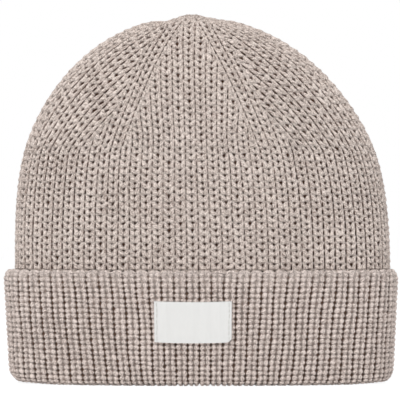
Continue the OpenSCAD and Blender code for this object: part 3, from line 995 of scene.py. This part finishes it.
# One tape: the face lies over its two ends, which turn under in half circles. Its
# lower edge sags and its upper edge dips, by one minus the square of the distance from
# its middle, and the lower right corner is rounded by a circle.
def makeLabel():
    half, r, t = label["half"], label["bend"], label["tape"] / 2
    centre = half - r - t
    w = np.linspace(0, np.pi, label["bendSteps"])
    tab = np.linspace(half - label["tab"], centre, label["tabSteps"])[:-1]
    face = np.linspace(centre, -centre, label["faceSteps"])[1:-1]
    x = np.concatenate([tab, centre + r * np.sin(w), face, -centre - r * np.sin(w), -tab[::-1]])
    off = r + r * np.concatenate([0 * tab - 1, -np.cos(w), 0 * face + 1, np.cos(w), 0 * tab - 1])
    run = arcAlong(np.stack([x, off], 1))
    way = np.stack([np.gradient(x), np.gradient(off)], 1)
    way /= np.linalg.norm(way, axis=1, keepdims=True)
    x = np.concatenate([x + t * way[:, 1], (x - t * way[:, 1])[::-1]])[:, None]
    off = np.concatenate([off - t * way[:, 0], (off + t * way[:, 0])[::-1]])[:, None]
    run = np.concatenate([run, run[::-1]])[:, None]
    share = np.linspace(0, 1, label["rows"])[None, :]
    arch = 1 - (x / half) ** 2
    r = label["corner"]
    inCorner = np.clip((x - half + r) / r, 0, 1)
    rounding = r * (1 - np.sqrt(1 - label["cornerDepth"] * inCorner ** 2))
    low = label["low"] - label["sag"] * arch + rounding
    high = label["high"] - label["dip"] * arch
    z = low + (high - low) * share
    lift = label["cornerLift"] * inCorner ** 2 * (1 - share) ** 2
    resting = smooth((half - label["tab"] - label["restFrom"] - np.abs(x)) / label["restEase"])
    points = labelPoint(x, off + lift - label["rest"] * resting, z)
    yarn = np.stack(np.broadcast_arrays(run, z, 0 * z), -1)
    made = gridMesh("front_label_tape", points, {"yarn": yarn, "depth": 0 * z},
                    (len(way) - 1, 2 * len(way) - 1))
    return finishPiece(made, "cuff", labelCloth, ["front_label", "label_tab_left", "label_tab_right"])


# Short stitches in a column through the tape: each dips into the cloth at both ends, by
# the sixth power of the distance from its middle.
def makeLabelStitches(side, x, seed):
    count = sewing["stitches"]
    luck = np.random.default_rng(seed).uniform(-1, 1, (count, 2, 1))
    n = np.arange(count)[:, None] - (count - 1) / 2
    t = np.linspace(-1, 1, 9)[None, :]
    z = (label["low"] + label["high"]) / 2 + n * (sewing["length"] + sewing["gap"])
    z = z + sewing["length"] / 2 * t + sewing["unevenUp"] * luck[:, 0]
    off = 2 * label["bend"] + label["tape"] / 2 + sewing["proud"] - sewing["sink"] * t ** 6
    paths = labelPoint(x + sewing["unevenAcross"] * luck[:, 1] + sewing["slant"] * t, off, z)
    made = threadMesh(f"label_sewing_{side}", paths, sewing["thread"])
    return finishPiece(made, "cuff", sewingThread, [f"label_stitches_{side}"])


labelTape = makeLabel()
labelEnd = label["half"] - sewing["margin"]
labelSewing = [makeLabelStitches("left", -labelEnd, 11), makeLabelStitches("right", labelEnd, 12)]
print("label sewn on")

seam = {
    "wide": 1.5,  # half the width of the row of loops
    "foot": 0.15,  # how far from the middle a leg starts, as a share of that
    "spread": 0.8,  # power with which it then spreads
    "start": 0.05, "spare": 0.3,  # what stays free at both ends, in loops
    "yarn": 0.75,
    "height": 0.1,  # how far the yarn lies above the knit
    "overlap": 0.15,  # how far a loop reaches over the next, as a share of it
    "thin": 0.6,  # thickness of a leg at its ends
    "steps": 9,
    "backFoot": 0.2,  # how far above the band's foot the back seam starts
    "backEnd": 7 / 8,  # share of the back gore at which it stops
}


# A row of linked loops as offsets across and along: each lays two legs, which meet as a
# V and spread with a power of the way along.
def loopOffsets(length, pitch):
    n = np.arange(int(length / pitch - seam["spare"]))[:, None, None]
    side = np.array([-1, 1])[None, :, None]
    t = np.linspace(0, 1, seam["steps"])[None, None, :]
    across = side * seam["wide"] * (seam["foot"] + (1 - seam["foot"]) * t ** seam["spread"])
    along = (n + seam["start"] + (1 + seam["overlap"]) * t) * pitch
    across, along = np.broadcast_arrays(across, along)
    return across.reshape(-1, seam["steps"]), along.reshape(-1, seam["steps"])


def linkSeam(node, body, paths):  # each leg swells towards its middle
    swell = seam["thin"] + (1 - seam["thin"]) * np.sin(np.linspace(0, np.pi, seam["steps"]))
    made = threadMesh(f"{node}_loops", paths, seam["yarn"], swell=swell)
    finishPiece(made, body, linkingWool, [node])


# The seam on the cuff lies outside, since the turned-up layer shows its other face.
across, along = loopOffsets(hat["layerTop"] - hat["foldTop"], cuffStitch["course"])
linkSeam("cuff_seam", "cuff", cuffPoint(across / placeWidth, -seam["height"], hat["foldTop"] + along))


# Inside, the seam follows the middle of the back, nearly up to the gather.
def makeBackSeam():
    inset = hat["knit"] + seam["height"]
    z = np.linspace(hat["bandLow"] + seam["backFoot"], hat["decreaseZ"], 300)
    start = steepness(hat["decreaseZ"], inset)
    phi = start + (endPhi - start) * np.linspace(0, seam["backEnd"], 200)[1:]
    line = np.concatenate([wallPoint(0 * z, inset, z), crownPoint(0 * phi, inset, phi)])
    arc = arcAlong(line)
    across, along = loopOffsets(arc[-1], crownStitch["course"])
    paths = np.stack([np.interp(along, arc, line[:, n]) for n in range(3)], -1)
    paths[..., 0] += across
    linkSeam("back_seam", "crown", paths)


makeBackSeam()
print("seams linked")

closing = {
    "yarn": 0.78,
    "inset": 0.8,  # how far the ring lies inside the space that is left for it
    "wave": 0.05,
    "knotYarn": 0.62, "knotSize": 0.46,
    "knotLift": 2.05,  # height of the knot's middle above its lowest part
    "knotHeight": 1.6,  # its height, as a multiple of its size
}


# The yarn drawn through the last stitches lies in a ring below them, and its knot
# is a trefoil: sin t + 2 sin 2t across, cos t - 2 cos 2t deep and -sin 3t high.
def makeClosingYarn():
    low, high = nodeBox("closing_yarn")
    t = np.linspace(0, tau, 65)[:-1]
    inset, size = closing["inset"], closing["knotSize"]
    a, b = (high[0] - low[0]) / 2 - inset, (high[1] - low[1]) / 2 - inset
    x, y = (high[0] + low[0]) / 2, (high[1] + low[1]) / 2
    ring = np.stack([x - a * np.sin(t), y + b * np.cos(t),
                     high[2] - inset + closing["wave"] * np.sin(5 * t)], 1)
    knot = np.stack([x + size * (np.sin(t) + 2 * np.sin(2 * t)),
                     y + size * (np.cos(t) - 2 * np.cos(2 * t)),
                     low[2] + closing["knotLift"] - closing["knotHeight"] * size * np.sin(3 * t)], 1)
    for part, path, yarn in (("ring", ring, closing["yarn"]), ("knot", knot, closing["knotYarn"])):
        made = threadMesh(f"closing_yarn_{part}", path[None], yarn, closed=True)
        finishPiece(made, "crown", linkingWool, ["closing_yarn"])


makeClosingYarn()

care = {
    "thick": 0.44, "rows": 84, "columns": 56,
    "curl": 0.9,  # how far the lower end curls in
    "arch": 0.2,  # how far its middle stands out from its sides
    "wave": 0.12, "waveWide": 3.1, "waveTall": 9.0,
    "hang": 0.02,  # gap below its sewn edge
}
careSewing = {"stitches": 4, "thread": 0.18, "inset": 0.2, "sink": 0.05, "slack": 0.15, "bow": 0.12}


# The care label hangs from its sewn upper edge, curls inwards with the cube of the
# distance below it, and bows a little across.
def makeCareLabel():
    low, high = nodeBox("care_label")
    x = np.linspace(low[0], high[0], care["columns"])[None, :]
    z = np.linspace(low[2], high[2] - care["hang"], care["rows"])[:, None]
    down = (high[2] - z) / (high[2] - low[2])
    across = (x - (low[0] + high[0]) / 2) / (high[0] - low[0]) * 2
    y = (low[1] + high[1]) / 2 - care["curl"] * down ** 3 - care["arch"] * down * across ** 2
    y = y - care["wave"] * down * (1 + np.sin(x / care["waveWide"] + z / care["waveTall"]))
    xx, zz = np.broadcast_arrays(x, z)
    sides = [np.stack([xx, y + care["thick"] / 2 * turn, zz], -1) for turn in (-1, 1)]
    points = np.concatenate([sides[0], sides[1][::-1]])
    yarn = np.stack([points[..., 0], points[..., 2], 0 * points[..., 0]], -1)
    made = gridMesh("care_label_tape", points, {"yarn": yarn, "depth": yarn[..., 2]},
                    (len(z) - 1, 2 * len(z) - 1))
    finishPiece(made, "care_tag", careCloth, ["care_label"])


# Threads that cross its sewn edge from front to back and bow up as a half sine.
def makeCareStitches():
    low, high = nodeBox("care_label_stitches")
    inset, sink = careSewing["inset"], careSewing["sink"]
    t = np.linspace(0, 1, 9)[None, :]
    x = np.linspace(low[0] + inset, high[0] - inset, careSewing["stitches"])[:, None]
    x = x + careSewing["slack"] * np.sin(5 * t)
    y = low[1] + sink + (high[1] - low[1] - 2 * sink) * t
    z = (low[2] + high[2]) / 2 + careSewing["bow"] * np.sin(np.pi * t)
    paths = np.stack(np.broadcast_arrays(x, y, z), -1)
    made = threadMesh("care_label_sewing", paths, careSewing["thread"])
    finishPiece(made, "crown", sewingThread, ["care_label_stitches"])


makeCareStitches()
makeCareLabel()
print("inside pieces made")


studio = {
    "frameWidth": 224.4,  # width of the view at the hat
    "distance": 1900.0, "aimX": -1.4, "aimZ": 102.5,  # of the camera, in front of the hat
    "floorSize": 8000.0,
    "shadowFloor": 0.8,  # how light the floor is to the object
    "paleFloor": 0.2, "glow": 0.9,  # and to the camera, with a glow of its own
    "world": 0.55,  # light from all round
    "lampAim": (0, 0, 100.0),  # the point that lamps look at
}
lamps = {  # place in metres, size and power
    "key": ((-0.8, -1.1, 1.5), 0.7, 16),
    "fill": ((1.4, -1.3, 0.6), 1.2, 6),
    "back": ((0.5, 1.5, 1.3), 1.2, 9),
}


def makeCamera():
    data = bpy.data.cameras.new("camera")
    data.sensor_width = 36
    data.lens = data.sensor_width * studio["distance"] / studio["frameWidth"]
    data.clip_start, data.clip_end = 0.05, 100  # in metres
    camera = addToScene("camera", data)
    camera.location = Vector((studio["aimX"], -studio["distance"], studio["aimZ"])) * mm
    camera.rotation_euler = (np.pi / 2, 0, 0)
    bpy.context.scene.camera = camera


# 1 for what the camera sees, straight, in a mirror or through glass, and 0 for the
# light that falls on the object.
def seenRays(tree):
    path = addNode(tree, "ShaderNodeLightPath").outputs
    seen = maths(tree, "ADD", path["Is Camera Ray"], path["Is Glossy Ray"])
    return maths(tree, "ADD", seen, path["Is Transmission Ray"], clamp=True)


def makeFloor():
    half = studio["floorSize"] / 2 * mm
    mesh = bpy.data.meshes.new("floor")
    mesh.from_pydata([(-half, -half, 0), (half, -half, 0), (half, half, 0), (-half, half, 0)],
                     [], [(0, 1, 2, 3)])
    floor = addToScene("floor", mesh)
    material = bpy.data.materials.new("paleFloor")
    material.use_nodes = True
    tree = material.node_tree
    tree.nodes.remove(tree.nodes["Principled BSDF"])
    plain, pale = [addNode(tree, "ShaderNodeBsdfDiffuse", {"Color": (grey, grey, grey, 1)}).outputs[0]
                   for grey in (studio["shadowFloor"], studio["paleFloor"])]
    glow = addNode(tree, "ShaderNodeEmission", {"Color": (1, 1, 1, 1), "Strength": studio["glow"]})
    lit = addNode(tree, "ShaderNodeAddShader", {0: pale, 1: glow.outputs[0]})
    both = addNode(tree, "ShaderNodeMixShader", {0: seenRays(tree), 1: plain, 2: lit.outputs[0]})
    tree.links.new(both.outputs[0], tree.nodes["Material Output"].inputs["Surface"])
    mesh.materials.append(material)


def makeWorld():
    world = bpy.data.worlds.new("studio")
    bpy.context.scene.world = world
    world.use_nodes = True
    tree = world.node_tree
    strength = maths(tree, "MULTIPLY_ADD", seenRays(tree), 1 - studio["world"], studio["world"])
    sky = tree.nodes["Background"]
    sky.inputs["Color"].default_value = (1, 1, 1, 1)
    tree.links.new(strength, sky.inputs["Strength"])


def addLamp(name, place, size, power):
    data = bpy.data.lights.new(name, "AREA")
    data.shape, data.size, data.energy = "SQUARE", size, power
    lamp = addToScene(name, data)
    lamp.location = place
    aim = Vector(studio["lampAim"]) * mm - lamp.location
    lamp.rotation_euler = aim.to_track_quat("-Z", "Y").to_euler()


makeCamera()
makeFloor()
makeWorld()
for name, lamp in lamps.items():
    addLamp(name, *lamp)
bpy.context.scene.view_settings.view_transform = "Standard"
print("studio set")
